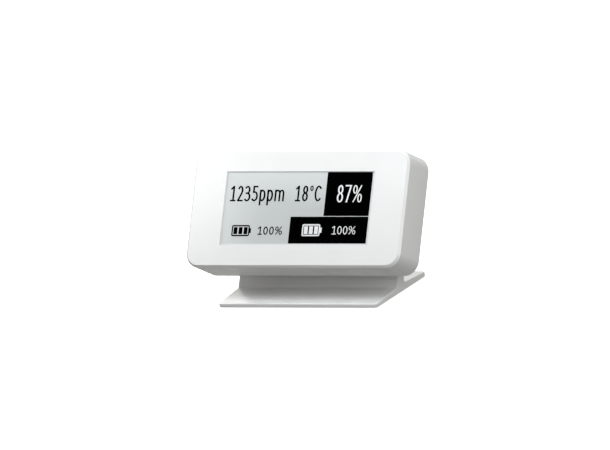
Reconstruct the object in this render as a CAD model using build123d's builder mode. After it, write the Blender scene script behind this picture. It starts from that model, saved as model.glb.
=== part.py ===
"""Desk air quality monitor: a flat case with an e-paper display, leaning back on a desk stand.

The case is a front housing with a screwed-in back cover. The cover's rear hump holds two AA cells behind a
sliding door, and the hump slides down onto the stand's two rails. Behind the display are the main board, its
CO2 and humidity sensors, the radio and the reset switch.

Millimetres. +Z is up and the display looks towards -Y. The origin is on the table, under the middle of the
stand's footprint.

Every piece of the case is drawn in the case's own directions: across the case (X), up its leaning face
(rise), and back from the face (depth).
"""

from build123d import *

import os
from math import cos, radians, sin, tan

# Case
lean = 30.0
case_width = 98.5
case_height = 48.35
case_depth = 16.6
case_corner = 6.2
front_chamfer = 0.95
rear_round = 0.5
wall = 1.6

# Stand
stand_width = 73.2
stand_depth = 42.0
plate_front = 1.7
plate_rear = 2.1
plate_slope = 3.5
foot_proud = 0.4
arm_thickness = 5.0
arm_top = 8.0
arm_round = 1.4
front_blend = 0.6
rear_blend = 1.2
stand_corner = 1.5
stand_edge_round = 0.4

# The middle of the display face: behind the plate's front edge, and above its underside
face_back = 11.65
face_up = 38.0

# Depths behind the face
lip_depth = 0.5
film_thickness = 0.3
glass_thickness = 0.75
board_front = 4.2
board_thickness = 1.2
tray_gap = 0.2
tray_floor = 0.6
cover_front = 14.8
hump_back = 22.5
dock_gap = 0.2

# Display
window_width = 68.1
window_height = 30.2
film_width = 72.0
film_height = 33.4
glass_width = 79.0
glass_height = 36.7
glass_gap = 0.15
flex_width = 17.0
flex_thickness = 0.15
flex_bond = 2.5
flex_return = 3.6
connector_length = 4.0
connector_front = 3.0
connector_x = -29.0
foam_width = 62.0
foam_height = 32.0
foam_x = 6.5

# Main board and what is on it
board_width = 93.0
board_height = 42.6
board_notch = 7.2
sensor_size = 10.1
sensor_base = 0.8
sensor_cap = 9.3
sensor_height = 6.2
filter_radius = 2.8
filter_thickness = 0.3
seal_opening = 7.0
module_width = 12.0
module_height = 14.0
module_board = 0.8
shield_width = 10.8
shield_height = 11.4
shield_rise = 1.8
switch_size = 6.0
switch_height = 3.5
plunger_radius = 1.75
plunger_height = 2.3
press_gap = 0.6

# Cells
cell_radius = 7.25
cell_length = 49.5
cell_round = 0.6
nub_radius = 2.75
nub_length = 1.0
cell_pitch = 14.9
cell_axis = 13.6
contact_thickness = 0.4
spring_thickness = 0.35
spring_width = 7.0
tab_width = 2.0

# Battery bay, hump and door
bay_width = 55.0
bay_height = 30.4
tray_wall = 1.2
hump_width = 65.0
hump_top = 18.5
hump_bottom = -20.0
hump_corner = 4.0
hump_round = 0.8
door_thickness = 1.4
door_flange = 0.6
door_reach = 1.4
door_bottom = -16.5
door_gap = 0.2
rib_count = 4
rib_pitch = 1.5
rib_length = 22.0
rib_width = 0.7
rib_height = 0.3
rib_start = 11.5

# Rails of the dock
rail_thickness = 2.0
rail_front = 18.2
rail_reach = 2.2
rail_top = 6.0
rail_bottom = -16.0
rail_gap = 0.2
rail_stop = 0.05
lip_thickness = 3.5

# Cover's hole features
cover_gap = 0.1
button_radius = 2.5
button_flange = 3.2
button_proud = 0.4
vent_length = 8.0
vent_width = 1.2
vent_pitch = 2.4
mesh_thickness = 0.3

# Fasteners
boss_radius = 3.0
boss_back = 13.0
insert_radius = 1.8
insert_length = 4.0
screw_radius = 1.25
screw_length = 6.5
screw_head_radius = 2.3
screw_head_height = 1.6
cross_width = 0.55
post_radius = 2.5
board_screw_radius = 0.9
board_screw_length = 2.2
board_head_radius = 1.9
board_head_height = 1.2

# Feet of the stand
foot_radius = 4.5
foot_inset = 0.5
foot_x = 28.0
foot_y = 15.0

# Derived places
foot_z = foot_proud
face_y = face_back - stand_depth / 2
face_z = face_up + foot_z
glass_front = lip_depth + film_thickness
glass_back = glass_front + glass_thickness
board_back = board_front + board_thickness
sensor_back = board_back + sensor_height
switch_back = board_back + switch_height
tray_front = board_back + tray_gap
bay_front = tray_front + tray_floor
door_front = hump_back - door_thickness
mesh_front = cover_front - cover_gap - mesh_thickness
arm_front = hump_back + dock_gap
arm_back = arm_front + arm_thickness
inner_width = case_width - 2 * wall
inner_height = case_height - 2 * wall
hump_height = hump_top - hump_bottom
hump_middle = (hump_top + hump_bottom) / 2
boss_spots = [(x, y) for x in (-43.3, 43.3) for y in (-18.2, 18.2)]
post_spots = [(x, y) for x in (-43.3, 43.3) for y in (-11.4, 11.4)]
sensor_spot = (41.3, 0.0)
button_spot = (-41.8, 6.0)
left_vent_spot = (-41.8, -5.0)
module_spot = (-35.3, -4.3)
rise_dir = (0, sin(radians(lean)), cos(radians(lean)))
depth_dir = (0, cos(radians(lean)), -sin(radians(lean)))

# The display face: local x across, local y up the face, looking out of the front
face = Plane(origin=(0, face_y, face_z), x_dir=(1, 0, 0), z_dir=tuple(-c for c in depth_dir))
# A cut across the case: local x across, local y the depth behind the face, looking up the face
across = Plane(origin=(0, face_y, face_z), x_dir=(1, 0, 0), z_dir=rise_dir)
rearward = Axis(origin=(0, face_y, face_z), direction=depth_dir)
upward = Axis(origin=(0, face_y, face_z), direction=rise_dir)


def behind(depth):
    """The plane parallel to the display face, this far behind it."""
    return face.offset(-depth)


def side_point(rise, depth):
    """(y, z) of the point this far up the case from the display's middle, and this far behind its face."""
    y = face_y + rise * sin(radians(lean)) + depth * cos(radians(lean))
    z = face_z + rise * cos(radians(lean)) - depth * sin(radians(lean))
    return y, z


def block(width, height, front, back, centre=(0, 0), corner=0.0, mode=Mode.ADD):
    """A block of the case between two depths, added to the part or cut from it."""
    with BuildSketch(behind(front)) as outline:
        with Locations(centre):
            if corner:
                RectangleRounded(width, height, corner)
            else:
                Rectangle(width, height)
    extrude(outline.sketch, amount=front - back, mode=mode)


def posts(radius, front, back, spots, mode=Mode.ADD):
    """Round posts between two depths, or holes where they are cut."""
    with BuildSketch(behind(front)) as outline:
        with Locations(*spots):
            Circle(radius)
    extrude(outline.sketch, amount=front - back, mode=mode)


def cross_slots(length, width, front, back, spots):
    """The cross recess in each screw head."""
    with BuildSketch(behind(front)) as outline:
        with Locations(*spots):
            Rectangle(length, width)
            Rectangle(width, length)
    extrude(outline.sketch, amount=front - back, mode=Mode.SUBTRACT)


# ---------------------------------------------------------------- front housing

with BuildPart() as front_housing:
    block(case_width, case_height, 0, case_depth, corner=case_corner)
    chamfer(front_housing.faces().sort_by(rearward)[0].edges(), front_chamfer)
    fillet(front_housing.faces().sort_by(rearward)[-1].edges(), rear_round)
    block(inner_width, inner_height, wall, case_depth, corner=case_corner - wall, mode=Mode.SUBTRACT)
    # Pocket for the display's glass, with room at its left end for the flex to fold back
    pocket_width = glass_width + 2 * glass_gap
    pocket_height = glass_height + 2 * glass_gap
    flex_room = 6.0
    block(pocket_width, pocket_height, lip_depth, wall, mode=Mode.SUBTRACT)
    block(flex_room, flex_width + 1, lip_depth, wall, (-glass_width / 2, 0), mode=Mode.SUBTRACT)
    block(window_width, window_height, 0, lip_depth, mode=Mode.SUBTRACT)
    # Bosses with seats for the brass inserts, and posts for the board
    posts(boss_radius, wall, boss_back, boss_spots)
    posts(insert_radius, boss_back - insert_length, boss_back, boss_spots, mode=Mode.SUBTRACT)
    posts(screw_radius + 0.1, boss_back - screw_length, boss_back, boss_spots, mode=Mode.SUBTRACT)
    posts(post_radius, wall, board_front, post_spots)
    posts(board_screw_radius, board_front - board_screw_length, board_front, post_spots, mode=Mode.SUBTRACT)

# ---------------------------------------------------------------- back cover

with BuildPart() as back_cover:
    cover_width = inner_width - 2 * cover_gap
    cover_height = inner_height - 2 * cover_gap
    block(cover_width, cover_height, cover_front, case_depth, corner=case_corner - wall - cover_gap)
    block(hump_width, hump_height, cover_front, hump_back, (0, hump_middle), hump_corner)
    fillet(back_cover.faces().sort_by(rearward)[-1].edges(), hump_round)
    # The tray that holds the cells, inside the case
    block(bay_width + 2 * tray_wall, bay_height + 2 * tray_wall, tray_front, cover_front)
    block(bay_width, bay_height, bay_front, hump_back, mode=Mode.SUBTRACT)
    # Opening and grooves for the door, which slides in from the hump's top
    door_width = bay_width - 2 * door_reach
    door_height = hump_top - door_bottom
    door_middle = (hump_top + door_bottom) / 2
    opening_width = door_width + 2 * door_gap
    opening_height = door_height + door_gap
    opening_middle = (0, door_middle - door_gap / 2)
    opening_front = door_front - door_gap
    groove_width = bay_width + 2 * door_gap
    groove_back = door_front + door_flange + 0.1
    block(opening_width, opening_height, opening_front, hump_back, opening_middle, mode=Mode.SUBTRACT)
    block(groove_width, opening_height, opening_front, groove_back, opening_middle, mode=Mode.SUBTRACT)
    # Grooves in the hump's sides, open below, which slide down over the stand's rails
    rail_groove_top = rail_top + rail_stop
    rail_groove_height = rail_groove_top - hump_bottom
    rail_groove_front = rail_front - rail_gap
    rail_groove_back = rail_front + rail_thickness + rail_gap
    for side in (-1, 1):
        groove_spot = (side * hump_width / 2, rail_groove_top - rail_groove_height / 2)
        block(
            2 * rail_reach,
            rail_groove_height,
            rail_groove_front,
            rail_groove_back,
            groove_spot,
            mode=Mode.SUBTRACT,
        )
    # Pads and counterbored holes for the screws
    posts(boss_radius + 0.5, boss_back, cover_front, boss_spots)
    posts(screw_radius + 0.15, boss_back, cover_front, boss_spots, mode=Mode.SUBTRACT)
    posts(screw_head_radius + 0.2, cover_front, case_depth, boss_spots, mode=Mode.SUBTRACT)
    # Button hole, and air vents over the sensors and on the other side
    posts(button_radius + 0.15, cover_front, case_depth, [button_spot], mode=Mode.SUBTRACT)
    with BuildSketch(behind(cover_front)):
        for vent_spot, vent_count in ((sensor_spot, 9), (left_vent_spot, 6)):
            with Locations(vent_spot):
                with GridLocations(1, vent_pitch, 1, vent_count):
                    SlotOverall(vent_length, vent_width)
    extrude(amount=cover_front - case_depth, mode=Mode.SUBTRACT)
    # Slots in the tray's floor for the contacts' solder tabs
    for side in (-1, 1):
        for row in (-1, 1):
            tab_spot = (side * (bay_width / 2 - 0.5), row * cell_pitch / 2)
            block(1.0, tab_width + 0.4, tray_front, bay_front, tab_spot, mode=Mode.SUBTRACT)

with BuildPart() as battery_door:
    block(door_width, door_height, door_front, hump_back, (0, door_middle))
    rear_edges = battery_door.faces().sort_by(rearward)[-1].edges()
    fillet(rear_edges.sort_by(upward)[-1], hump_round)
    block(bay_width, door_height, door_front, door_front + door_flange, (0, door_middle))
    # Grip ribs near the top
    for rib in range(rib_count):
        rib_spot = (0, rib_start + rib * rib_pitch)
        block(rib_length, rib_width, hump_back, hump_back + rib_height, rib_spot)

# ---------------------------------------------------------------- display

with BuildPart() as epaper_film:
    block(film_width, film_height, lip_depth, glass_front)

with BuildPart() as epaper_glass:
    block(glass_width, glass_height, glass_front, glass_back)

with BuildPart() as display_gasket:
    block(glass_width, glass_height, lip_depth, glass_front)
    block(film_width, film_height, lip_depth, glass_front, mode=Mode.SUBTRACT)
    # Gap at the left end, where the flex is bonded to the glass
    gap_width = (glass_width - film_width) / 2
    gap_spot = (-(glass_width - gap_width) / 2, 0)
    block(gap_width, flex_width + 0.6, lip_depth, glass_front, gap_spot, mode=Mode.SUBTRACT)

with BuildPart() as display_flex:
    bond_depth = glass_front - flex_thickness / 2
    bend_radius = (flex_return - bond_depth) / 2
    bend_x = -glass_width / 2 - 0.4
    with BuildSketch(across):
        with BuildLine():
            Line((flex_bond - glass_width / 2, bond_depth), (bend_x, bond_depth))
            ThreePointArc(
                (bend_x, bond_depth),
                (bend_x - bend_radius, bond_depth + bend_radius),
                (bend_x, flex_return),
            )
            Line((bend_x, flex_return), (connector_x + 0.5, flex_return))
        trace(line_width=flex_thickness)
    extrude(amount=flex_width / 2, both=True)

with BuildPart() as flex_connector:
    block(connector_length, flex_width + 2, connector_front, board_front, (connector_x, 0))
    # The slot that the flex goes into
    slot_half = flex_thickness / 2 + 0.05
    slot_length = connector_length / 2 + 0.6
    slot_spot = (connector_x - (connector_length - slot_length) / 2, 0)
    block(
        slot_length,
        flex_width + 0.2,
        flex_return - slot_half,
        flex_return + slot_half,
        slot_spot,
        mode=Mode.SUBTRACT,
    )

with BuildPart() as display_foam:
    block(foam_width, foam_height, glass_back, board_front, (foam_x, 0), corner=2)

# ---------------------------------------------------------------- main board

with BuildPart() as main_board:
    block(board_width, board_height, board_front, board_back)
    # Corners cut away for the case's bosses
    for x in (-1, 1):
        for y in (-1, 1):
            notch_spot = (x * board_width / 2, y * board_height / 2)
            block(2 * board_notch, 2 * board_notch, board_front, board_back, notch_spot, mode=Mode.SUBTRACT)
    posts(board_screw_radius + 0.2, board_front, board_back, post_spots, mode=Mode.SUBTRACT)

with BuildPart() as board_screws:
    head_back = board_back + board_head_height
    posts(board_head_radius, board_back, head_back, post_spots)
    posts(board_screw_radius, board_front - board_screw_length + 0.1, board_back, post_spots)
    cross_slots(2.0, 0.5, head_back - 0.6, head_back, post_spots)

with BuildPart() as co2_sensor:
    block(sensor_size, sensor_size, board_back, board_back + sensor_base, sensor_spot)
    block(sensor_cap, sensor_cap, board_back + sensor_base, sensor_back, sensor_spot, corner=0.8)
    posts(filter_radius, sensor_back - filter_thickness, sensor_back, [sensor_spot], mode=Mode.SUBTRACT)

with BuildPart() as co2_filter:
    posts(filter_radius, sensor_back - filter_thickness, sensor_back, [sensor_spot])

with BuildPart() as sensor_seal:
    block(sensor_cap, sensor_cap, sensor_back, mesh_front, sensor_spot, corner=0.8)
    block(seal_opening, seal_opening, sensor_back, mesh_front, sensor_spot, corner=0.8, mode=Mode.SUBTRACT)

with BuildPart() as humidity_sensor:
    humidity_spot = (36.0, -9.0)
    humidity_back = board_back + 0.9
    block(2.5, 2.5, board_back, humidity_back, humidity_spot)
    posts(0.5, humidity_back - 0.3, humidity_back, [humidity_spot], mode=Mode.SUBTRACT)

with BuildPart() as radio_module:
    block(module_width, module_height, board_back, board_back + module_board, module_spot)

with BuildPart() as radio_shield:
    shield_front = board_back + module_board
    shield_spot = (module_spot[0], module_spot[1] + 0.8)
    block(shield_width, shield_height, shield_front, shield_front + shield_rise, shield_spot, corner=0.5)

with BuildPart() as chip_antenna:
    block(7, 2, board_back, board_back + 1.2, (-20, 19.6))

with BuildPart() as board_chips:
    # Width, height, thickness and place of the processor, memory, power coil and crystal
    chips = [
        (7.0, 7.0, 0.9, (35.5, 9.5)),
        (3.0, 3.0, 0.9, (34.5, -14.5)),
        (4.0, 4.0, 1.8, (-33.0, 17.0)),
        (3.2, 1.5, 0.7, (31.0, 19.5)),
    ]
    for chip_width, chip_height, chip_thickness, chip_spot in chips:
        block(chip_width, chip_height, board_back, board_back + chip_thickness, chip_spot)

with BuildPart() as storage_capacitor:
    posts(3.15, board_back, board_back + 5.8, [(-34.5, -17.0)])

with BuildPart() as tact_switch:
    block(switch_size, switch_size, board_back, switch_back, button_spot)
    posts(plunger_radius, switch_back, switch_back + plunger_height, [button_spot])

with BuildPart() as reset_button:
    flange_back = cover_front - cover_gap
    flange_front = flange_back - 0.9
    posts(plunger_radius, switch_back + plunger_height + press_gap, flange_front, [button_spot])
    posts(button_flange, flange_front, flange_back, [button_spot])
    posts(button_radius, flange_back, case_depth + button_proud, [button_spot])
    fillet(reset_button.faces().sort_by(rearward)[-1].edges(), button_proud - 0.05)

with BuildPart() as vent_meshes:
    for vent_spot, mesh_height in ((sensor_spot, 22.0), (left_vent_spot, 14.4)):
        block(9.6, mesh_height, mesh_front, mesh_front + mesh_thickness, vent_spot, corner=1)

# ---------------------------------------------------------------- cells and contacts


def make_cell(row, polarity):
    """An AA cell across the bay. Row is 1 for the upper one; polarity is the side its nub points to."""
    tip = polarity * (bay_width / 2 - contact_thickness)
    shoulder = tip - polarity * nub_length
    foot = shoulder - polarity * cell_length
    middle = behind(cell_axis).from_local_coords((0, row * cell_pitch / 2, 0))
    along = Plane(origin=middle, x_dir=rise_dir, z_dir=(polarity, 0, 0))
    with BuildPart() as cell:
        with BuildSketch(along.offset(polarity * foot)):
            Circle(cell_radius)
        extrude(amount=cell_length)
        fillet(cell.edges().filter_by(GeomType.CIRCLE), cell_round)
        with BuildSketch(along.offset(polarity * shoulder)):
            Circle(nub_radius)
        extrude(amount=nub_length)
    return cell


upper_cell = make_cell(1, 1)
lower_cell = make_cell(-1, -1)

with BuildPart() as cell_plates:
    plate_height = 9.0
    for row, side in ((1, 1), (-1, -1)):
        plate_spot = (side * (bay_width - contact_thickness) / 2, row * cell_pitch / 2)
        block(contact_thickness, plate_height, bay_front + 0.1, bay_front + 12, plate_spot)
        block(contact_thickness, tab_width, board_back, bay_front + 0.1, plate_spot)

with BuildPart() as cell_springs:
    # Each bowed leaf leans on the end wall and touches the cell's flat end
    leaf_x = bay_width / 2 - spring_thickness / 2
    cell_end_x = contact_thickness + nub_length + cell_length - bay_width / 2
    bow_x = cell_end_x + spring_thickness / 2
    bow_half = 5.5
    for row, side in ((1, -1), (-1, 1)):
        with BuildSketch(across.offset(row * cell_pitch / 2)):
            with BuildLine():
                Line((side * leaf_x, bay_front + 0.3), (side * leaf_x, cell_axis + bow_half))
                ThreePointArc(
                    (side * leaf_x, cell_axis + bow_half),
                    (side * bow_x, cell_axis),
                    (side * (leaf_x - 0.6), cell_axis - bow_half),
                )
            trace(line_width=spring_thickness)
        extrude(amount=spring_width / 2, both=True)
        leaf_spot = (side * leaf_x, row * cell_pitch / 2)
        block(spring_thickness, tab_width, board_back, bay_front + 0.4, leaf_spot)

# ---------------------------------------------------------------- fasteners of the case

with BuildPart() as brass_inserts:
    posts(insert_radius, boss_back - insert_length, boss_back, boss_spots)
    posts(screw_radius + 0.05, boss_back - insert_length, boss_back, boss_spots, mode=Mode.SUBTRACT)

with BuildPart() as cover_screws:
    cover_head_back = cover_front + screw_head_height
    posts(screw_radius, boss_back - screw_length + 0.5, cover_front, boss_spots)
    posts(screw_head_radius, cover_front, cover_head_back, boss_spots)
    chamfer(cover_screws.faces().group_by(rearward)[-1].edges(), 0.3)
    cross_slots(2.4, cross_width, cover_head_back - 0.8, cover_head_back, boss_spots)

# ---------------------------------------------------------------- stand

with BuildPart() as desk_stand:
    half_depth = stand_depth / 2
    front_top = foot_z + plate_front
    rear_top = foot_z + plate_rear
    climb = half_depth * tan(radians(plate_slope))
    # The plate's two slopes meet inside the arm's foot
    foot_front = -1.0
    foot_back = 1.0
    # The arm's foot is buried in the plate
    foot_rise = -29.0
    foot_rise_back = foot_rise + arm_thickness * tan(radians(lean))
    with BuildSketch(Plane.YZ) as profile:
        Polygon(
            (-half_depth, foot_z),
            (half_depth, foot_z),
            (half_depth, rear_top),
            (foot_back, rear_top + climb * (half_depth - foot_back) / half_depth),
            (foot_front, front_top + climb * (half_depth + foot_front) / half_depth),
            (-half_depth, front_top),
            align=None,
        )
        Polygon(
            side_point(foot_rise, arm_front),
            side_point(arm_top, arm_front),
            side_point(arm_top, arm_back),
            side_point(foot_rise_back, arm_back),
            align=None,
        )
        fillet(profile.vertices().sort_by(Axis.Y)[-2:], arm_round)
        # The two inside corners where the arm stands on the plate
        foot_heights = (rear_top + 0.3, rear_top + climb + 0.3)
        foot_corners = profile.vertices().filter_by_position(Axis.Y, *foot_heights)
        fillet(foot_corners.sort_by(Axis.X)[0], front_blend)
        foot_corners = profile.vertices().filter_by_position(Axis.Y, *foot_heights)
        fillet(foot_corners.sort_by(Axis.X)[-1], rear_blend)
    extrude(amount=stand_width / 2, both=True)
    fillet(desk_stand.edges().filter_by(Axis.Z), stand_corner)
    fillet(desk_stand.edges().group_by(Axis.Z)[0], stand_edge_round)
    side_edges = desk_stand.faces().filter_by(Axis.X).edges()
    upper_edges = side_edges.filter_by(lambda edge: edge.center().Z > front_top - 0.1)
    fillet(upper_edges.filter_by(Axis.Z, reverse=True), stand_edge_round)
    # Lips along the arm's sides, each with a rail that runs in the hump's groove
    lip_front = rail_front - 0.3
    lip_height = rail_top + 1 - rail_bottom
    lip_middle = rail_bottom + lip_height / 2
    rail_height = rail_top - rail_bottom
    rail_middle = (rail_top + rail_bottom) / 2
    rail_width = lip_thickness + rail_reach
    rail_inset = 0.4
    for side in (-1, 1):
        lip_spot = (side * (stand_width / 2 - rail_inset - lip_thickness / 2), lip_middle)
        rail_spot = (side * (stand_width / 2 - rail_inset - rail_width / 2), rail_middle)
        block(lip_thickness, lip_height, lip_front, arm_front + 1, lip_spot, corner=1)
        block(rail_width, rail_height, rail_front, rail_front + rail_thickness, rail_spot)
    # Shallow seats for the feet
    with BuildSketch(Plane.XY.offset(foot_z)):
        with GridLocations(2 * foot_x, 2 * foot_y, 2, 2):
            Circle(foot_radius)
    extrude(amount=foot_inset, mode=Mode.SUBTRACT)

with BuildPart() as foot_pads:
    with BuildSketch(Plane.XY):
        with GridLocations(2 * foot_x, 2 * foot_y, 2, 2):
            Circle(foot_radius)
    extrude(amount=foot_z + foot_inset)

# ---------------------------------------------------------------- export

pieces = {
    "front_housing": front_housing,
    "back_cover": back_cover,
    "battery_door": battery_door,
    "epaper_film": epaper_film,
    "epaper_glass": epaper_glass,
    "display_gasket": display_gasket,
    "display_flex": display_flex,
    "flex_connector": flex_connector,
    "display_foam": display_foam,
    "main_board": main_board,
    "board_screws": board_screws,
    "co2_sensor": co2_sensor,
    "co2_filter": co2_filter,
    "sensor_seal": sensor_seal,
    "humidity_sensor": humidity_sensor,
    "radio_module": radio_module,
    "radio_shield": radio_shield,
    "chip_antenna": chip_antenna,
    "board_chips": board_chips,
    "storage_capacitor": storage_capacitor,
    "tact_switch": tact_switch,
    "reset_button": reset_button,
    "vent_meshes": vent_meshes,
    "upper_cell": upper_cell,
    "lower_cell": lower_cell,
    "cell_plates": cell_plates,
    "cell_springs": cell_springs,
    "brass_inserts": brass_inserts,
    "cover_screws": cover_screws,
    "desk_stand": desk_stand,
    "foot_pads": foot_pads,
}

os.makedirs("parts", exist_ok=True)
for name, piece in pieces.items():
    piece.part.label = name
    export_step(piece.part, f"parts/{name}.step")
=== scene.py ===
"""Looks of the desk air quality monitor: materials, the display's readings, studio, light and camera.

Metres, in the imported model's frame: +Z up, the display looks towards -Y and leans back. What is drawn on the
case is placed in the display's own directions: across (X), up the leaning face, and back from the face.
"""

from math import cos, radians, sin

import bmesh
import bpy
from mathutils import Matrix, Vector
from mathutils.geometry import delaunay_2d_cdt, intersect_point_quad_2d


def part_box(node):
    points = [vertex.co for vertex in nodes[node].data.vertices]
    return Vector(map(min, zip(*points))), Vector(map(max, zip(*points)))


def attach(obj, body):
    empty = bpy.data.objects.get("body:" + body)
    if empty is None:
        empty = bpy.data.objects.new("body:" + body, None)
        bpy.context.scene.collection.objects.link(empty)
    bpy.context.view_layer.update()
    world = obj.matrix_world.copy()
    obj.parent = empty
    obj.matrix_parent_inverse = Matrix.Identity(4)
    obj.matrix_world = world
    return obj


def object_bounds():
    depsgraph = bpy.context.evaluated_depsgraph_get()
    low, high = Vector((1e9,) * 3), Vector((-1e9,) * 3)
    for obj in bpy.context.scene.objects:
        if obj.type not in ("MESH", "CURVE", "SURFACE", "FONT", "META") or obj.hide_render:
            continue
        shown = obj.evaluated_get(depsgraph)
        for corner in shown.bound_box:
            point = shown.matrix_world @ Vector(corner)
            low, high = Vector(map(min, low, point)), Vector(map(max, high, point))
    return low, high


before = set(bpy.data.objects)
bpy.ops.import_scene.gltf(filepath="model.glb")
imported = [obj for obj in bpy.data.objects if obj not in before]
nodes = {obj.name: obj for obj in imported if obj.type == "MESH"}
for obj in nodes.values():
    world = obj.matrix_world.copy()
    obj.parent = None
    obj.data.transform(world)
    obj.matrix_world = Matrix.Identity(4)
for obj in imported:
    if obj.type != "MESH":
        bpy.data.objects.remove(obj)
cad_low, cad_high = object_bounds()

MM = 0.001

# How far the case leans back, and how deep its display's film lies behind the lip round the window
LEAN = radians(30)
LIP_DEPTH = 0.5 * MM
FILM_THICKNESS = 0.3 * MM

# The window's width and height, in millimetres
WINDOW = (68.1, 30.2)

# The pitch of the display's picture dots, and the part of it that is the gap between two dots
PICTURE_DOT = 0.227 * MM
DOT_GAP = 0.12

# ---------------------------------------------------------------- the display's own directions

ACROSS = Vector((1, 0, 0))
UP_FACE = Vector((0, sin(LEAN), cos(LEAN)))
BACK = Vector((0, cos(LEAN), -sin(LEAN)))

film_low, film_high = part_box("epaper_film")
FILM_FRONT = (film_low + film_high) / 2 - BACK * (FILM_THICKNESS / 2)
FACE_CENTRE = FILM_FRONT - BACK * LIP_DEPTH


def face_matrix(depth):
    """Takes (across, up the face, towards the reader) to the frame, on a plane this far behind the face."""
    place = Matrix((ACROSS, UP_FACE, -BACK)).transposed().to_4x4()
    place.translation = FACE_CENTRE + BACK * depth
    return place


# ---------------------------------------------------------------- node trees

def start_material(name):
    """A material with its Principled shader and the object's own coordinates, in metres."""
    made = bpy.data.materials.new(name)
    made.use_nodes = True
    tree = made.node_tree
    shader = tree.nodes["Principled BSDF"]
    coords = tree.nodes.new("ShaderNodeTexCoord").outputs["Object"]
    return made, tree, shader, coords


def turned(tree, coords, rotation, scale=(1, 1, 1)):
    """The coordinates stretched by the scale and then rotated."""
    node = tree.nodes.new("ShaderNodeMapping")
    node.inputs["Rotation"].default_value = rotation
    node.inputs["Scale"].default_value = scale
    tree.links.new(coords, node.inputs["Vector"])
    return node.outputs["Vector"]


def noise(tree, coords, size, detail=3.0, roughness=0.5):
    """Noise whose blobs are about this size, in metres."""
    node = tree.nodes.new("ShaderNodeTexNoise")
    node.inputs["Scale"].default_value = 1 / size
    node.inputs["Detail"].default_value = detail
    node.inputs["Roughness"].default_value = roughness
    tree.links.new(coords, node.inputs["Vector"])
    return node.outputs["Fac"]


def ramp(tree, value, stops):
    """Colours or greys by value. Each stop is (position, (r, g, b)) or (position, grey)."""
    node = tree.nodes.new("ShaderNodeValToRGB")
    elements = node.color_ramp.elements
    while len(elements) < len(stops):
        elements.new(0.5)
    for element, (position, tone) in zip(elements, stops):
        colour = tone if isinstance(tone, tuple) else (tone, tone, tone)
        element.position = position
        element.color = (*colour, 1)
    tree.links.new(value, node.inputs["Fac"])
    return node.outputs["Color"]


def math_node(tree, operation, first, second=0.0):
    """One sum on two numbers or sockets."""
    node = tree.nodes.new("ShaderNodeMath")
    node.operation = operation
    for socket, value in zip(node.inputs, (first, second)):
        if isinstance(value, (int, float)):
            socket.default_value = value
        else:
            tree.links.new(value, socket)
    return node.outputs[0]


def mix(tree, factor, first, second):
    """The first colour where the factor is 0, and the second where it is 1."""
    node = tree.nodes.new("ShaderNodeMix")
    node.data_type = "RGBA"
    for name, value in (("Factor", factor), ("A", first), ("B", second)):
        socket = next(s for s in node.inputs if s.name == name and s.enabled)
        if isinstance(value, tuple):
            socket.default_value = (*value, 1)
        elif isinstance(value, (int, float)):
            socket.default_value = value
        else:
            tree.links.new(value, socket)
    return next(s for s in node.outputs if s.enabled)


def bump(tree, shader, height, depth):
    """Pushes the surface by height (0 to 1) times depth, in metres."""
    node = tree.nodes.new("ShaderNodeBump")
    node.inputs["Strength"].default_value = 1.0
    node.inputs["Distance"].default_value = depth
    tree.links.new(height, node.inputs["Height"])
    tree.links.new(node.outputs["Normal"], shader.inputs["Normal"])


def shade(colour, factor):
    """The same colour, darker or brighter by the factor."""
    return tuple(channel * factor for channel in colour)


# ---------------------------------------------------------------- materials

def moulded_plastic(name, colour, roughness, wave, wave_depth):
    """Injection-moulded plastic: faint clouding, uneven gloss and a slightly wavy skin."""
    made, tree, shader, coords = start_material(name)
    clouds = noise(tree, coords, 18 * MM, detail=2)
    tone = ramp(tree, clouds, [(0.35, shade(colour, 0.985)), (0.65, colour)])
    tree.links.new(tone, shader.inputs["Base Color"])
    smears = noise(tree, coords, 9 * MM, detail=2)
    gloss = ramp(tree, smears, [(0.3, roughness * 0.85), (0.7, roughness * 1.15)])
    tree.links.new(gloss, shader.inputs["Roughness"])
    bump(tree, shader, noise(tree, coords, wave, detail=0), wave_depth)
    shader.inputs["IOR"].default_value = 1.5
    return made


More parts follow.
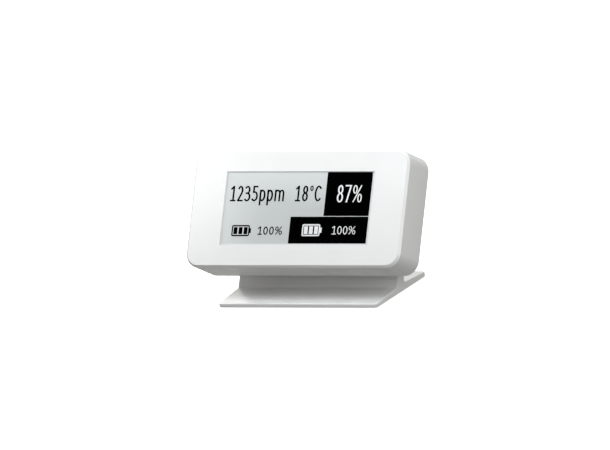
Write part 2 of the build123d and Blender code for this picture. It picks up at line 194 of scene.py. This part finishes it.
def electronic_paper(name, colour, roughness, gloss, painted_shade=0.0):
    """A matt surface with fine speckle and a faint grid, with painted shade that darkens it by the given
    strength away from its top and left.
    """
    made, tree, shader, coords = start_material(name)
    split = tree.nodes.new("ShaderNodeSeparateXYZ")
    tree.links.new(coords, split.inputs["Vector"])
    across = split.outputs["X"]
    rise = math_node(
        tree,
        "ADD",
        math_node(tree, "MULTIPLY", split.outputs["Y"], sin(LEAN)),
        math_node(tree, "MULTIPLY", split.outputs["Z"], cos(LEAN)),
    )
    gaps = []
    for place in (across, rise):
        dots = math_node(tree, "DIVIDE", place, PICTURE_DOT)
        gaps.append(math_node(tree, "LESS_THAN", math_node(tree, "FRACT", dots), DOT_GAP))
    grid = math_node(tree, "MULTIPLY", math_node(tree, "MAXIMUM", *gaps), 0.35)
    specks = noise(tree, coords, 0.12 * MM, detail=1)
    speckle = ramp(tree, specks, [(0.3, shade(colour, 0.95)), (0.7, colour)])
    # 0 to 1 across the window and up it, to place the painted shade
    from_middle = math_node(tree, "SUBTRACT", rise, FACE_CENTRE.dot(UP_FACE))
    along = math_node(tree, "ADD", math_node(tree, "DIVIDE", across, WINDOW[0] * MM), 0.5)
    upward = math_node(tree, "ADD", math_node(tree, "DIVIDE", from_middle, WINDOW[1] * MM), 0.5)
    # Painted shade: the film's colour is darkened away from the window's top and left
    darker = math_node(
        tree,
        "MINIMUM",
        ramp(tree, along, [(0.0, 0.0), (0.24, 0.75), (0.6, 1.0)]),
        ramp(tree, upward, [(0.5, 1.0), (0.95, 0.0)]),
    )
    # How much painted shade darkens the colour at each place
    painted_shade_amount = math_node(tree, "MULTIPLY", darker, painted_shade)
    dotted = mix(tree, grid, speckle, shade(colour, 0.93))
    tree.links.new(mix(tree, painted_shade_amount, dotted, (0.0, 0.0, 0.0)), shader.inputs["Base Color"])
    haze = ramp(tree, noise(tree, coords, 5 * MM), [(0.3, roughness * 0.9), (0.7, roughness * 1.1)])
    tree.links.new(haze, shader.inputs["Roughness"])
    shader.inputs["Specular IOR Level"].default_value = gloss
    return made


def soft_rubber(name, colour, roughness, pore, pore_depth):
    """Foam or silicone with a fine, pored skin."""
    made, tree, shader, coords = start_material(name)
    pores = noise(tree, coords, pore, detail=4, roughness=0.7)
    tone = ramp(tree, pores, [(0.35, shade(colour, 0.7)), (0.6, colour)])
    tree.links.new(tone, shader.inputs["Base Color"])
    shader.inputs["Roughness"].default_value = roughness
    bump(tree, shader, pores, pore_depth)
    return made


def metal(name, colour, roughness, streak=(1, 1, 1)):
    """Metal with fine grain, drawn out along one direction where it is brushed or rolled."""
    made, tree, shader, coords = start_material(name)
    lines = noise(tree, turned(tree, coords, (0, 0, 0), streak), 0.15 * MM, detail=5, roughness=0.65)
    stains = noise(tree, coords, 3 * MM, detail=3)
    tone = ramp(tree, stains, [(0.3, shade(colour, 0.85)), (0.7, colour)])
    tree.links.new(tone, shader.inputs["Base Color"])
    gloss = ramp(tree, lines, [(0.3, roughness * 0.75), (0.7, roughness * 1.3)])
    tree.links.new(gloss, shader.inputs["Roughness"])
    shader.inputs["Metallic"].default_value = 1.0
    bump(tree, shader, lines, 0.002 * MM)
    return made


def circuit_board(name):
    """Green solder mask over copper: the tracks show as slightly lighter, raised lines."""
    made, tree, shader, coords = start_material(name)
    flat = turned(tree, coords, (-LEAN, 0, 0))
    cells = tree.nodes.new("ShaderNodeTexVoronoi")
    cells.distance = "MANHATTAN"
    cells.feature = "F1"
    cells.inputs["Scale"].default_value = 1 / (2.2 * MM)
    tree.links.new(flat, cells.inputs["Vector"])
    tracks = ramp(tree, cells.outputs["Distance"], [(0.40, 0.0), (0.44, 1.0), (0.56, 1.0), (0.60, 0.0)])
    green = mix(tree, tracks, (0.010, 0.105, 0.045), (0.022, 0.200, 0.085))
    tree.links.new(green, shader.inputs["Base Color"])
    weave = noise(tree, flat, 0.5 * MM, detail=2)
    tree.links.new(ramp(tree, weave, [(0.3, 0.22), (0.7, 0.34)]), shader.inputs["Roughness"])
    bump(tree, shader, tracks, 0.03 * MM)
    return made


# A wave texture's scale times its stripes' pitch
WAVE_SCALE = 0.314


def flex_film(name):
    """Amber polyimide with parallel copper tracks along its length."""
    made, tree, shader, coords = start_material(name)
    stripes = tree.nodes.new("ShaderNodeTexWave")
    stripes.bands_direction = "Z"
    stripes.inputs["Scale"].default_value = WAVE_SCALE / (0.7 * MM)
    flat = turned(tree, coords, (-LEAN, 0, 0))
    tree.links.new(flat, stripes.inputs["Vector"])
    tracks = ramp(tree, stripes.outputs["Fac"], [(0.45, 0.0), (0.55, 1.0)])
    tree.links.new(mix(tree, tracks, (0.42, 0.17, 0.02), (0.62, 0.30, 0.07)), shader.inputs["Base Color"])
    haze = noise(tree, coords, 1 * MM)
    tree.links.new(ramp(tree, haze, [(0.3, 0.2), (0.7, 0.32)]), shader.inputs["Roughness"])
    bump(tree, shader, tracks, 0.01 * MM)
    return made


def cell_wrap(name, node, nub_side):
    """A wrapped cell: a coloured sleeve, a pale band near the nub end, and bare metal at both ends."""
    made, tree, shader, coords = start_material(name)
    low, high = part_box(node)
    split = tree.nodes.new("ShaderNodeSeparateXYZ")
    tree.links.new(coords, split.inputs["Vector"])
    from_end = math_node(tree, "SUBTRACT", split.outputs["X"], low.x)
    along = math_node(tree, "DIVIDE", from_end, high.x - low.x)
    if nub_side < 0:
        along = math_node(tree, "SUBTRACT", 1.0, along)
    sleeve = (0.045, 0.125, 0.210)
    band = (0.72, 0.52, 0.16)
    steel = (0.70, 0.70, 0.69)
    stops = [
        (0.0, steel),
        (0.012, steel),
        (0.016, sleeve),
        (0.72, sleeve),
        (0.735, band),
        (0.955, band),
        (0.965, steel),
    ]
    scuffs = noise(tree, coords, 2.5 * MM, detail=5)
    tint = ramp(tree, scuffs, [(0.35, 0.86), (0.6, 1.0)])
    blend = tree.nodes.new("ShaderNodeMix")
    blend.data_type = "RGBA"
    blend.blend_type = "MULTIPLY"
    blend.inputs[0].default_value = 1.0
    tree.links.new(ramp(tree, along, stops), blend.inputs[6])
    tree.links.new(tint, blend.inputs[7])
    tree.links.new(blend.outputs[2], shader.inputs["Base Color"])
    bare = ramp(tree, along, [(0.012, 1.0), (0.016, 0.0), (0.960, 0.0), (0.965, 1.0)])
    tree.links.new(bare, shader.inputs["Metallic"])
    tree.links.new(ramp(tree, scuffs, [(0.3, 0.26), (0.7, 0.42)]), shader.inputs["Roughness"])
    bump(tree, shader, scuffs, 0.01 * MM)
    return made


def woven_mesh(name, colour):
    """Fine woven cloth: two sets of threads, over and under."""
    made, tree, shader, coords = start_material(name)
    flat = turned(tree, coords, (-LEAN, 0, 0))
    threads = []
    for direction in ("X", "Z"):
        wave = tree.nodes.new("ShaderNodeTexWave")
        wave.bands_direction = direction
        wave.inputs["Scale"].default_value = WAVE_SCALE / (0.3 * MM)
        tree.links.new(flat, wave.inputs["Vector"])
        threads.append(wave.outputs["Fac"])
    weave = math_node(tree, "MAXIMUM", *threads)
    tone = ramp(tree, weave, [(0.2, shade(colour, 0.15)), (0.8, colour)])
    tree.links.new(tone, shader.inputs["Base Color"])
    shader.inputs["Roughness"].default_value = 0.85
    shader.inputs["Sheen Weight"].default_value = 0.3
    bump(tree, shader, weave, 0.08 * MM)
    return made


def display_glass(name):
    """Thin glass with a green-grey edge and a faint haze."""
    made, tree, shader, coords = start_material(name)
    haze = noise(tree, coords, 4 * MM)
    tone = ramp(tree, haze, [(0.3, (0.50, 0.57, 0.55)), (0.7, (0.56, 0.62, 0.61))])
    tree.links.new(tone, shader.inputs["Base Color"])
    tree.links.new(ramp(tree, haze, [(0.3, 0.04), (0.7, 0.10)]), shader.inputs["Roughness"])
    shader.inputs["Transmission Weight"].default_value = 0.35
    return made


def assign(material, *names):
    """Puts the material on CAD nodes, in place of the plain ones they came with."""
    for name in names:
        mesh = nodes[name].data
        mesh.materials.clear()
        mesh.materials.append(material)


WHITE = (0.86, 0.86, 0.855)
COVER_WHITE = (0.83, 0.83, 0.825)

# Plastics: the outside is smooth in front, and finely textured on the cover and its door
assign(moulded_plastic("housing_white", WHITE, 0.22, 6 * MM, 0.004 * MM), "front_housing")
assign(moulded_plastic("stand_white", WHITE, 0.22, 6 * MM, 0.004 * MM), "desk_stand")
assign(moulded_plastic("cover_white", COVER_WHITE, 0.35, 1.2 * MM, 0.002 * MM), "back_cover")
assign(moulded_plastic("door_white", COVER_WHITE, 0.35, 1.2 * MM, 0.002 * MM), "battery_door")
assign(moulded_plastic("button_grey", (0.62, 0.63, 0.64), 0.35, 0.3 * MM, 0.003 * MM), "reset_button")
assign(moulded_plastic("connector_cream", (0.70, 0.65, 0.50), 0.45, 0.3 * MM, 0.004 * MM), "flex_connector")
ceramic = moulded_plastic("ceramic_white", (0.72, 0.71, 0.66), 0.25, 0.2 * MM, 0.003 * MM)
assign(ceramic, "chip_antenna", "humidity_sensor")
chip_black = moulded_plastic("chip_black", (0.020, 0.020, 0.022), 0.55, 0.15 * MM, 0.006 * MM)
assign(chip_black, "board_chips", "tact_switch")

# The display's film and glass
assign(electronic_paper("paper_border", (0.70, 0.71, 0.72), 0.35, 0.5), "epaper_film")
assign(display_glass("display_glass"), "epaper_glass")

# Foam and rubber
foam_black = soft_rubber("foam_black", (0.030, 0.030, 0.032), 0.95, 0.35 * MM, 0.10 * MM)
assign(foam_black, "display_gasket", "display_foam")
assign(soft_rubber("seal_black", (0.035, 0.035, 0.038), 0.6, 0.2 * MM, 0.01 * MM), "sensor_seal")
assign(soft_rubber("foot_grey", (0.42, 0.42, 0.42), 0.55, 0.4 * MM, 0.02 * MM), "foot_pads")

# Boards, metals, cells and filters
assign(flex_film("flex_amber"), "display_flex")
assign(circuit_board("board_green"), "main_board", "radio_module")
tinned_steel = metal("tinned_steel", (0.62, 0.61, 0.59), 0.32, streak=(1, 12, 12))
assign(tinned_steel, "radio_shield", "co2_sensor")
assign(metal("capacitor_can", (0.72, 0.72, 0.74), 0.28), "storage_capacitor")
assign(metal("zinc_screw", (0.50, 0.51, 0.53), 0.34), "cover_screws", "board_screws")
nickel = metal("nickel_spring", (0.68, 0.65, 0.60), 0.22, streak=(1, 1, 8))
assign(nickel, "cell_plates", "cell_springs")
assign(metal("insert_brass", (0.66, 0.45, 0.17), 0.30), "brass_inserts")
assign(cell_wrap("upper_cell_wrap", "upper_cell", 1), "upper_cell")
assign(cell_wrap("lower_cell_wrap", "lower_cell", -1), "lower_cell")
assign(woven_mesh("vent_mesh", (0.06, 0.06, 0.065)), "vent_meshes")
assign(soft_rubber("filter_white", (0.75, 0.75, 0.73), 0.9, 0.15 * MM, 0.01 * MM), "co2_filter")

# ---------------------------------------------------------------- the display's picture

# Drawn in millimetres from the window's lower left corner

# The thickness of one layer of the picture, and the gap on each side of a figure, in ems
INK = 0.02 * MM
SIDE_BEARING = 0.055

# Corners nearer than this count as one, and a bend widens a pen's line up to the inverse of this cosine
SAME_PLACE = 1e-6
WELD_DISTANCE = 1e-5
SHARPEST_BEND = 0.6


def arc(x, y, wide, tall, start, end, steps=16):
    """Points along an oval, by angle in degrees, counter-clockwise from its right-hand end."""
    angles = [radians(start + (end - start) * step / steps) for step in range(steps + 1)]
    return [(x + wide * cos(angle), y + tall * sin(angle)) for angle in angles]


# A small letter's height, where a digit's is 1
SMALL_LETTER = 0.725

# Each figure's width in ems, and its strokes: across 0 to 1, and up 0 at the base line to 1 at a digit's top
FIGURES = {
    "0": (0.42, [arc(0.5, 0.5, 0.5, 0.5, 0, 360)]),
    "1": (0.38, [[(0.0, 0.84), (0.44, 0.96)], [(0.58, 1.0), (0.58, 0.0)], [(0.0, 0.0), (1.0, 0.0)]]),
    "2": (0.39, [arc(0.46, 0.74, 0.47, 0.26, 150, -22) + [(0.80, 0.53), (0.03, 0.02)],
                 [(0.0, 0.0), (1.0, 0.0)]]),
    "3": (0.40, [arc(0.36, 0.765, 0.49, 0.235, 140, -90),
                 arc(0.38, 0.265, 0.62, 0.265, 90, -135),
                 [(0.18, 0.53), (0.38, 0.53)]]),
    "5": (0.40, [[(0.90, 1.0), (0.12, 1.0), (0.10, 0.60)],
                 [(0.10, 0.60)] + arc(0.38, 0.305, 0.62, 0.305, 90, -135)]),
    "7": (0.42, [[(0.0, 1.0), (1.0, 1.0), (0.30, 0.0)]]),
    "8": (0.42, [arc(0.5, 0.765, 0.42, 0.235, 0, 360), arc(0.5, 0.265, 0.5, 0.265, 0, 360)]),
    "p": (0.41, [[(0.0, SMALL_LETTER), (0.0, -0.29)], arc(0.45, 0.3625, 0.55, 0.3625, 150, -150)]),
    "m": (0.66, [[(0.0, SMALL_LETTER), (0.0, 0.0)],
                 arc(0.26, 0.50, 0.26, 0.225, 160, 0) + [(0.52, 0.0)],
                 arc(0.76, 0.50, 0.24, 0.225, 160, 0) + [(1.0, 0.0)]]),
    "°": (0.24, [arc(0.5, 0.85, 0.5, 0.155, 0, 360)]),
    "C": (0.46, [arc(0.62, 0.5, 0.62, 0.5, 49, 311, steps=24)]),
    "%": (0.64, [arc(0.20, 0.765, 0.20, 0.235, 0, 360),
                 arc(0.80, 0.235, 0.20, 0.235, 0, 360),
                 [(0.06, 0.01), (0.90, 0.99)]]),
}

# The figures that a finer pen draws
THINNER = {"%": 0.78, "°": 0.65}


def stroke(points, pen):
    """Four-cornered patches that cover a line drawn with an oval pen of these half sizes."""
    squeeze = pen[0] / pen[1]
    line = [Vector((x, y * squeeze)) for x, y in points]
    closed = (line[0] - line[-1]).length < SAME_PLACE
    runs = [(after - before).normalized() for before, after in zip(line, line[1:])]
    if not closed:
        line[0] = line[0] - runs[0] * pen[0]
        line[-1] = line[-1] + runs[-1] * pen[0]
    before = [runs[-1] if closed else runs[0]] + runs
    after = runs + [runs[0] if closed else runs[-1]]
    left, right = [], []
    for place, came, goes in zip(line, before, after):
        middle = (came + goes).normalized()
        reach = pen[0] / max(middle.dot(goes), SHARPEST_BEND)
        aside = Vector((-middle.y, middle.x)) * reach
        left.append((place.x + aside.x, (place.y + aside.y) / squeeze))
        right.append((place.x - aside.x, (place.y - aside.y) / squeeze))
    return [(right[i], right[i + 1], left[i + 1], left[i]) for i in range(len(line) - 1)]


def figures(words, left, right, bottom, top, pen):
    """The patches of a line of figures that spans left to right, with digits from bottom to top."""
    widths = [FIGURES[letter][0] for letter in words]
    em = (right - left) / (sum(widths) + 2 * SIDE_BEARING * (len(words) - 1))
    patches = []
    for letter, width in zip(words, widths):
        nib = tuple(half * THINNER.get(letter, 1.0) for half in pen)
        inner = width * em - 2 * nib[0]
        tall = top - bottom - 2 * nib[1]
        for points in FIGURES[letter][1]:
            placed = [(left + nib[0] + x * inner, bottom + nib[1] + y * tall) for x, y in points]
            patches += stroke(placed, nib)
        left += (width + 2 * SIDE_BEARING) * em
    return patches


def box(left, bottom, right, top):
    """One rectangular patch, in a list."""
    return [((left, bottom), (right, bottom), (right, top), (left, top))]


def battery_icon(left, bottom, body_right, top, nub_right):
    """A full battery: three bars in a rounded outline, with its nub on the right."""
    pen = 0.29
    corner = 0.35
    bar_gap = 0.62
    bar_inset = 0.92
    bar_end_inset = 0.86
    nub_overlap = 0.1
    nub = 0.22 * (top - bottom)
    low = bottom + pen + corner
    high = top - pen - corner
    near = left + pen + corner
    far = body_right - pen - corner
    outline = []
    for x, y, start in ((far, high, 0), (near, high, 90), (near, low, 180), (far, low, 270)):
        outline += arc(x, y, corner, corner, start, start + 90, steps=4)
    patches = stroke(outline + outline[:1], (pen, pen))
    middle = (bottom + top) / 2
    patches += box(body_right - nub_overlap, middle - nub, nub_right, middle + nub)
    inner_left = left + bar_inset
    inner_right = body_right - bar_inset
    bar = (inner_right - inner_left - 2 * bar_gap) / 3
    for number in range(3):
        start = inner_left + number * (bar + bar_gap)
        patches += box(start, bottom + bar_end_inset, start + bar, top - bar_end_inset)
    return patches


def layer(name, patches, level, material):
    """One closed, paper-thin piece that joins overlapping patches, this many ink layers above the film."""
    points = []
    loops = []
    for patch in patches:
        loops.append(list(range(len(points), len(points) + len(patch))))
        points += [Vector(corner) for corner in patch]
    points, _, faces, _, _, _ = delaunay_2d_cdt(points, [], loops, 0, WELD_DISTANCE)
    kept = []
    for face in faces:
        centre = sum((points[corner] for corner in face), Vector((0, 0))) / len(face)
        if any(intersect_point_quad_2d(centre, *patch) for patch in patches):
            kept.append(face)
    # An edge that two faces share runs both ways, and one that runs a single way gets a wall
    walls = {(face[i - 1], face[i]) for face in kept for i in range(len(face))}
    solid = bmesh.new()
    flat = [((x - WINDOW[0] / 2) * MM, (y - WINDOW[1] / 2) * MM) for x, y in points]
    low = [solid.verts.new((x, y, level * INK)) for x, y in flat]
    high = [solid.verts.new((x, y, (level + 1) * INK)) for x, y in flat]
    for face in kept:
        solid.faces.new([high[corner] for corner in face])
        solid.faces.new([low[corner] for corner in reversed(face)])
    for start, end in sorted(walls):
        if (end, start) not in walls:
            solid.faces.new((low[start], low[end], high[end], high[start]))
    unused = [vert for vert in solid.verts if not vert.link_faces]
    bmesh.ops.delete(solid, geom=unused, context="VERTS")
    mesh = bpy.data.meshes.new(name)
    solid.to_mesh(mesh)
    solid.free()
    mesh.transform(face_matrix(LIP_DEPTH))
    mesh.materials.append(material)
    piece = bpy.data.objects.new(name, mesh)
    bpy.context.scene.collection.objects.link(piece)
    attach(piece, "monitor")


# The display's ground carries painted shade, darker away from the window's top and left
paper_grey = electronic_paper("paper_grey", (0.665, 0.69, 0.69), 0.35, 0.5, painted_shade=0.19)
ink_black = electronic_paper("ink_black", (0.0006, 0.0006, 0.0006), 0.6, 0.0)
ink_grey = electronic_paper("ink_dark_grey", (0.006, 0.006, 0.006), 0.6, 0.0)
ink_white = electronic_paper("ink_white", (0.84, 0.85, 0.86), 0.35, 0.5)

# Half the width of a pen's upright and level lines, in millimetres
DIGIT_PEN = (0.40, 0.32)
BOLD_PEN = (0.35, 0.27)
FINE_PEN = (0.27, 0.24)
LIGHT_PEN = (0.18, 0.165)

layer("picture_ground", box(0.0, 0.78, 67.07, 30.06), 0, paper_grey)
layer("black_block_upper", box(46.32, 12.05, 67.07, 30.0), 1, ink_black)
layer("black_block_lower", box(31.3, 0.78, 67.07, 11.77), 1, ink_black)
layer("co2_reading", figures("1235ppm", 2.4, 27.25, 18.07, 24.43, DIGIT_PEN), 1, ink_black)
layer("temperature_reading", figures("18°C", 32.37, 44.15, 18.03, 24.48, DIGIT_PEN), 1, ink_black)
layer("humidity_reading", figures("87%", 51.6, 63.05, 17.6, 24.7, BOLD_PEN), 2, ink_white)
layer("battery_icon_dark", battery_icon(4.75, 3.79, 12.97, 8.37, 13.67), 1, ink_black)
layer("battery_level_dark", figures("100%", 16.85, 28.05, 4.35, 7.78, FINE_PEN), 1, ink_grey)
layer("battery_icon_light", battery_icon(37.17, 3.83, 45.42, 8.71, 46.22), 2, ink_white)
layer("battery_level_light", figures("100%", 51.0, 61.75, 4.53, 7.93, LIGHT_PEN), 2, ink_white)

# ---------------------------------------------------------------- floor, light and camera

FLOOR_HALF = 8.0
FLOOR_GLOW = 0.9


def studio_floor():
    """A wide pale floor that only the camera sees, so it throws no light or shadow on the object."""
    mesh = bpy.data.meshes.new("floor")
    corners = [(x * FLOOR_HALF, y * FLOOR_HALF, 0) for x, y in ((-1, -1), (1, -1), (1, 1), (-1, 1))]
    mesh.from_pydata(corners, [], [(0, 1, 2, 3)])
    made, tree, shader, coords = start_material("floor_white")
    tone = ramp(tree, noise(tree, coords, 0.4), [(0.3, 0.88), (0.7, 0.90)])
    tree.links.new(tone, shader.inputs["Base Color"])
    tree.links.new(tone, shader.inputs["Emission Color"])
    shader.inputs["Roughness"].default_value = 0.9
    shader.inputs["Specular IOR Level"].default_value = 0.0
    shader.inputs["Emission Strength"].default_value = FLOOR_GLOW
    mesh.materials.append(made)
    floor = bpy.data.objects.new("floor", mesh)
    bpy.context.scene.collection.objects.link(floor)
    floor.visible_diffuse = False
    floor.visible_glossy = False
    floor.visible_shadow = False


WARM_WHITE = (1.0, 0.99, 0.955)
COOL_WHITE = (0.965, 1.0, 1.02)

# Brightness by direction, from 0 straight down to 1 straight up
ROOM_LEVELS = ((0.0, 0.4), (0.3, 0.12), (1.0, 0.12))
WALL_LEVELS = ((0.0, 0.4), (0.33, 1.0), (0.5, 0.2), (0.68, 2.6), (0.9, 0.12))


def studio_world():
    """A dim room with a bright wall and floor behind the object. The camera sees plain white."""
    world = bpy.data.worlds.new("studio")
    bpy.context.scene.world = world
    world.use_nodes = True
    tree = world.node_tree
    direction = tree.nodes.new("ShaderNodeTexCoord").outputs["Generated"]
    split = tree.nodes.new("ShaderNodeSeparateXYZ")
    tree.links.new(direction, split.inputs["Vector"])
    height = math_node(tree, "ADD", math_node(tree, "MULTIPLY", split.outputs["Z"], 0.5), 0.5)
    room = ramp(tree, height, [(stop, shade(WARM_WHITE, level)) for stop, level in ROOM_LEVELS])
    wall = ramp(tree, height, [(stop, shade(WARM_WHITE, level)) for stop, level in WALL_LEVELS])
    behind = math_node(tree, "MAXIMUM", split.outputs["Y"], 0.0)
    dome = mix(tree, math_node(tree, "MULTIPLY", behind, behind), room, wall)
    seen = tree.nodes.new("ShaderNodeLightPath").outputs["Is Camera Ray"]
    tree.links.new(mix(tree, seen, dome, (1.0, 1.0, 1.0)), tree.nodes["Background"].inputs["Color"])


# The middle of the object, where the softboxes point
LIGHT_AIM = Vector((0, -0.005, 0.035))


def softbox(name, place, size, power, colour=(1, 1, 1)):
    """A square soft light of this width and power in watts that points at the middle of the object."""
    light = bpy.data.lights.new(name, "AREA")
    light.shape = "SQUARE"
    light.size = size
    light.energy = power
    light.color = colour
    lamp = bpy.data.objects.new(name, light)
    lamp.location = place
    lamp.rotation_euler = (LIGHT_AIM - Vector(place)).to_track_quat("-Z", "Y").to_euler()
    lamp.visible_camera = False
    bpy.context.scene.collection.objects.link(lamp)


# The camera's direction from the object, its roll, its lens and sensor in millimetres, the width that it
# takes in, and how far its aim is from the middle of the object's box
VIEW_AZIMUTH = radians(31.05)
VIEW_ELEVATION = radians(15.25)
VIEW_ROLL = radians(9.0)
LENS = 1000.0
SENSOR = 36.0
VIEW_WIDTH = 244.0 * MM
AIM_ACROSS = -2.57 * MM
AIM_UP = -0.95 * MM
NEAREST_SEEN = 0.1


def view_camera():
    """A very long lens at the product view's angle, tipped so that the case's long edges are level."""
    data = bpy.data.cameras.new("camera")
    data.lens = LENS
    data.sensor_width = SENSOR
    distance = VIEW_WIDTH * LENS / SENSOR
    data.clip_start = NEAREST_SEEN
    data.clip_end = 4 * distance
    camera = bpy.data.objects.new("camera", data)
    aside = sin(VIEW_AZIMUTH) * cos(VIEW_ELEVATION)
    forward = -cos(VIEW_AZIMUTH) * cos(VIEW_ELEVATION)
    back = Vector((aside, forward, sin(VIEW_ELEVATION)))
    level = Vector((cos(VIEW_AZIMUTH), sin(VIEW_AZIMUTH), 0))
    over = back.cross(level)
    right = level * cos(VIEW_ROLL) - over * sin(VIEW_ROLL)
    up = level * sin(VIEW_ROLL) + over * cos(VIEW_ROLL)
    centre = (cad_low + cad_high) / 2 + right * AIM_ACROSS + up * AIM_UP
    place = Matrix((right, up, back)).transposed().to_4x4()
    place.translation = centre + back * distance
    camera.matrix_world = place
    bpy.context.scene.collection.objects.link(camera)
    bpy.context.scene.camera = camera


studio_floor()
studio_world()
softbox("overhead_light", (0.0, -0.10, 0.25), 0.14, 0.30, COOL_WHITE)
softbox("overhead_right_light", (0.12, -0.10, 0.22), 0.14, 0.153, COOL_WHITE)
softbox("near_right_light", (0.18, -0.12, 0.10), 0.08, 0.106)
softbox("near_left_light", (-0.11, -0.06, 0.10), 0.06, 0.017)
softbox("left_light", (-0.16, -0.03, 0.12), 0.08, 0.125)
softbox("front_light", (0.0, -0.30, 0.10), 0.10, 0.048, WARM_WHITE)
softbox("rear_light", (0.0, 0.15, 0.20), 0.14, 0.12, COOL_WHITE)
view_camera()
bpy.context.scene.view_settings.view_transform = "Standard"
